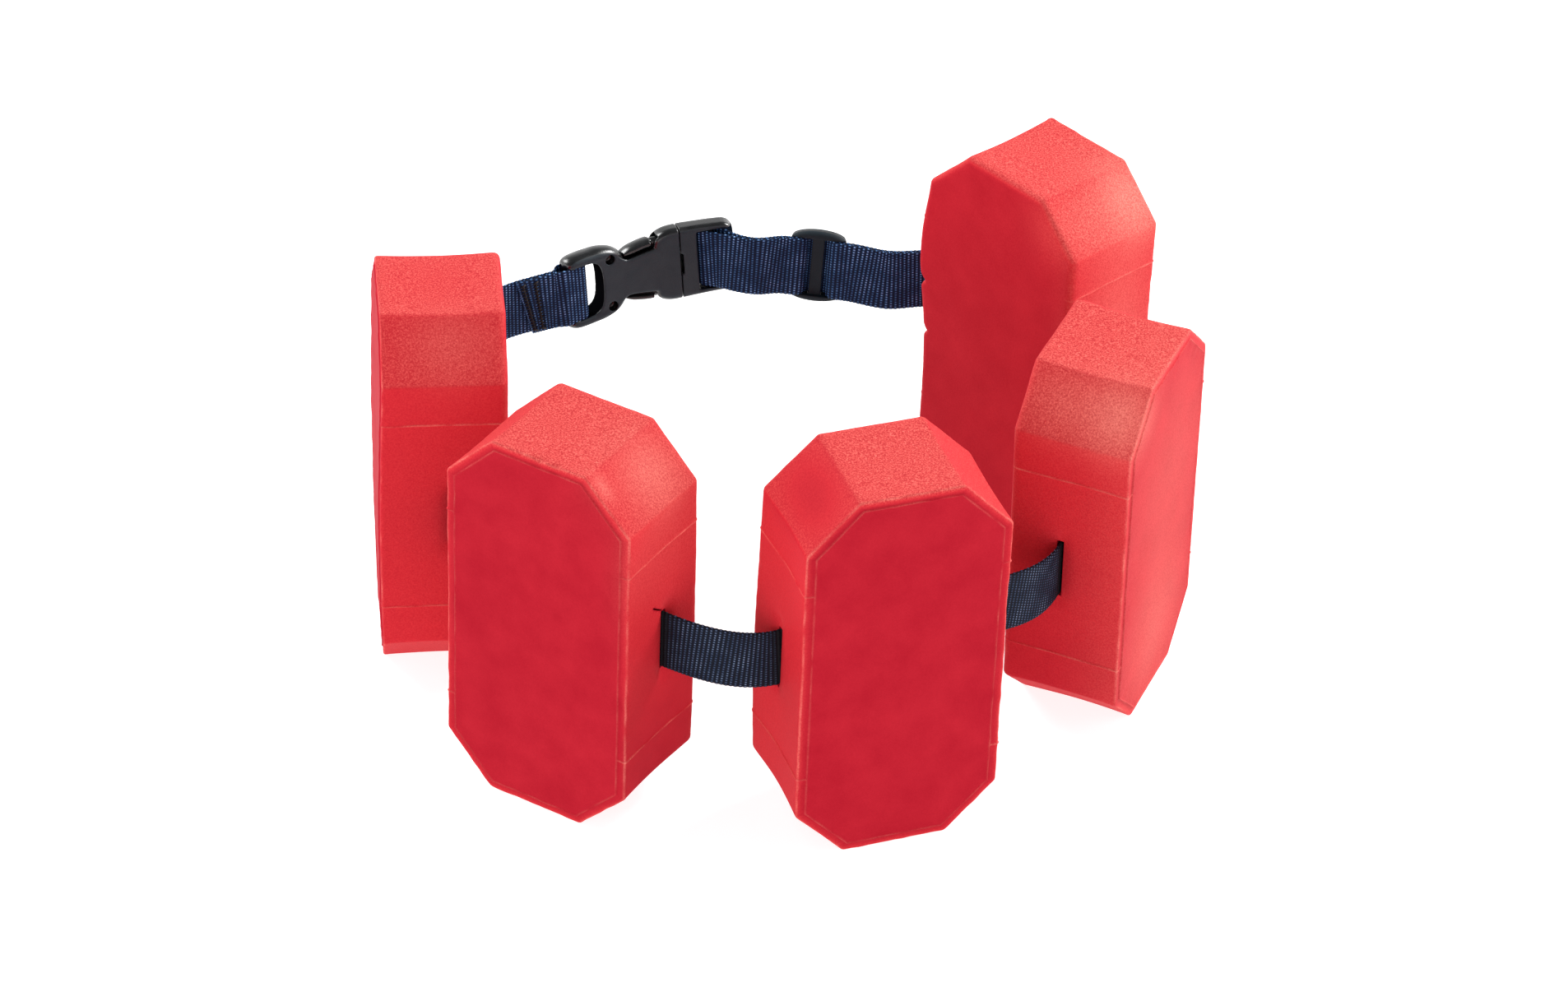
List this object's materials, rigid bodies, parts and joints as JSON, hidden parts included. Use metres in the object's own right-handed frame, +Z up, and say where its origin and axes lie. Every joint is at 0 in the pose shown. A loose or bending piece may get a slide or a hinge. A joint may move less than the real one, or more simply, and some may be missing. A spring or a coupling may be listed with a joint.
{
  "type": "swim belt",
  "caption": "Swimming aid belt: octagonal foam floats strung on a webbing strap, closed by a side-release buckle, with a strap slider that keeps the tail.",
  "frame": {"origin": "on the floor under the middle of the belt's bounding box", "axes": "+X is the belt's long way, from the float at one side to the float at the other; +Y points to the buckle side; +Z points up along the floats"},
  "size_m": [0.3797, 0.3444, 0.1925],
  "materials": {
    "foam": "moulded red closed-cell foam, finely speckled",
    "webbing": "woven navy webbing with lighter flecks",
    "plastic": "moulded black plastic, satin"
  },
  "bodies": {
    "root": {"float_left": "foam", "float_front_left": "foam", "float_front_right": "foam", "float_right": "foam", "float_back_right": "foam", "webbing": "webbing", "buckle_socket": "plastic", "buckle_plug": "plastic", "slider": "plastic"}
  },
  "joints": []
}
